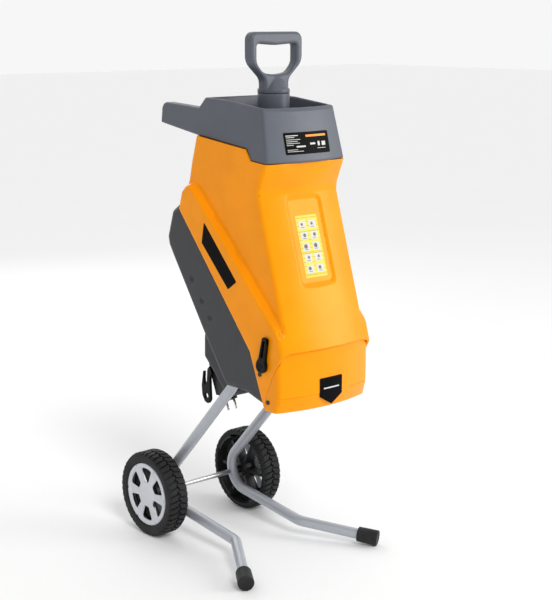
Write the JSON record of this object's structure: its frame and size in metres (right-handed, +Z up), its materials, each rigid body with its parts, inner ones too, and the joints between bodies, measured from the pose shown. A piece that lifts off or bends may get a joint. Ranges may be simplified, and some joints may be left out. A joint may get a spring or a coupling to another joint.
{
  "type": "electric garden shredder",
  "caption": "Wheeled electric garden shredder: open hopper with plunger, tilting casing, motor housing with cutter disc, and a bent tube stand.",
  "frame": {"origin": "on the floor, at the centre of the overall box", "axes": "+Z up; the front, with the label and the discharge, faces -Y; the wheels and the rear handle are towards +Y; X runs across, with the inlet pins and the cord hook at -X"},
  "size_m": [0.3506, 0.4586, 0.9595],
  "materials": {
    "orange_plastic": "satin",
    "grey_plastic": "satin",
    "housing_plastic": "satin",
    "black_plastic": "satin",
    "black_gloss": "gloss",
    "chute_plastic": "matte",
    "fan_plastic": "matte",
    "rim_black": "matte",
    "trim_white": "satin",
    "tube_paint": "satin",
    "rubber_cap": "matte",
    "tyre_rubber": "matte",
    "steel": "satin",
    "blade_steel": "ground",
    "black_steel": "black oxide",
    "motor_steel": "laminated",
    "cast_aluminium": "cast",
    "copper": "enamelled copper",
    "brass": "satin",
    "carbon": "matte",
    "plated_pin": "nickel plated",
    "label_black": "printed film",
    "label_yellow": "printed film",
    "button_green": "gloss",
    "button_red": "gloss",
    "button_grey": "matte"
  },
  "bodies": {
    "stand_and_motor": {"leg_left": "tube_paint", "leg_right": "tube_paint", "toe_caps": "rubber_cap", "axle": "steel", "axle_spacers": "black_plastic", "axle_nuts": "steel", "motor_housing": "housing_plastic", "leg_screws": "steel", "deck_plate": "steel", "motor_front_bracket": "cast_aluminium", "motor_can": "motor_steel", "stator_core": "motor_steel", "field_windings": "copper", "motor_rear_bracket": "cast_aluminium", "shaft_bearings": "steel", "brush_holders": "brass", "carbon_brushes": "carbon", "switch_box": "black_plastic", "plug_inlet": "black_plastic", "inlet_pins": "plated_pin", "cord_hook": "black_plastic", "interlock_switch": "black_plastic", "hinge_pin": "steel"},
    "cutter_rotor": {"motor_shaft": "steel", "armature_core": "motor_steel", "armature_windings": "copper", "commutator": "copper", "cooling_fan": "fan_plastic", "cutter_disc": "steel", "cutter_blades": "blade_steel", "blade_screws": "black_steel", "disc_bolt": "black_steel"},
    "upper_casing": {"casing": "orange_plastic", "front_cover": "orange_plastic", "hopper": "grey_plastic", "feed_chute": "chute_plastic", "feed_plate": "steel", "counter_blade": "blade_steel", "casing_screws": "black_steel", "rating_label": "label_black", "safety_sticker": "label_yellow", "front_badge": "label_black", "side_decals": "label_black", "interlock_finger": "orange_plastic"},
    "lock_lever_left": {"lock_lever_left": "black_gloss"},
    "lock_lever_right": {"lock_lever_right": "black_gloss"},
    "plunger": {"plunger_grip": "grey_plastic", "plunger_barrel": "grey_plastic"},
    "start_button": {"start_button": "button_green"},
    "stop_button": {"stop_button": "button_red"},
    "reset_button": {"reset_button": "button_grey"},
    "wheel_left": {"tyre_left": "tyre_rubber", "rim_left": "rim_black", "trim_left": "trim_white"},
    "wheel_right": {"tyre_right": "tyre_rubber", "rim_right": "rim_black", "trim_right": "trim_white"}
  },
  "joints": [
    {"name": "wheel_left_spin", "type": "hinge", "parent": "stand_and_motor", "child": "wheel_left", "pos_m": [-0.1165, 0.147, 0.0825], "axis": [1, 0, 0], "continuous": true},
    {"name": "wheel_right_spin", "type": "hinge", "parent": "stand_and_motor", "child": "wheel_right", "pos_m": [0.1165, 0.147, 0.0825], "axis": [1, 0, 0], "continuous": true},
    {"name": "rotor_spin", "type": "hinge", "parent": "stand_and_motor", "child": "cutter_rotor", "pos_m": [0, -0.035, 0.5234], "axis": [0, -0.7547, 0.6561], "continuous": true},
    {"name": "casing_tilt", "type": "hinge", "parent": "stand_and_motor", "child": "upper_casing", "pos_m": [0, 0.081, 0.654], "axis": [-1, 0, 0], "range_deg": [0, 75]},
    {"name": "lock_lever_left_turn", "type": "hinge", "parent": "upper_casing", "child": "lock_lever_left", "pos_m": [-0.11, -0.1677, 0.3945], "axis": [-1, 0, 0], "range_deg": [0, 90]},
    {"name": "lock_lever_right_turn", "type": "hinge", "parent": "upper_casing", "child": "lock_lever_right", "pos_m": [0.11, -0.1677, 0.3945], "axis": [-1, 0, 0], "range_deg": [0, 90]},
    {"name": "plunger_slide", "type": "slide", "parent": "upper_casing", "child": "plunger", "axis": [0, 0, 1], "range_m": [0, 0.305]},
    {"name": "start_button_press", "type": "slide", "parent": "stand_and_motor", "child": "start_button", "axis": [0, -1, 0], "range_m": [0, 0.003], "stiffness_N_per_m": 300, "springref_m": -0.001},
    {"name": "stop_button_press", "type": "slide", "parent": "stand_and_motor", "child": "stop_button", "axis": [0, -1, 0], "range_m": [0, 0.003], "stiffness_N_per_m": 300, "springref_m": -0.001},
    {"name": "reset_button_press", "type": "slide", "parent": "stand_and_motor", "child": "reset_button", "axis": [0, -1, 0], "range_m": [0, 0.002], "stiffness_N_per_m": 300, "springref_m": -0.001}
  ]
}
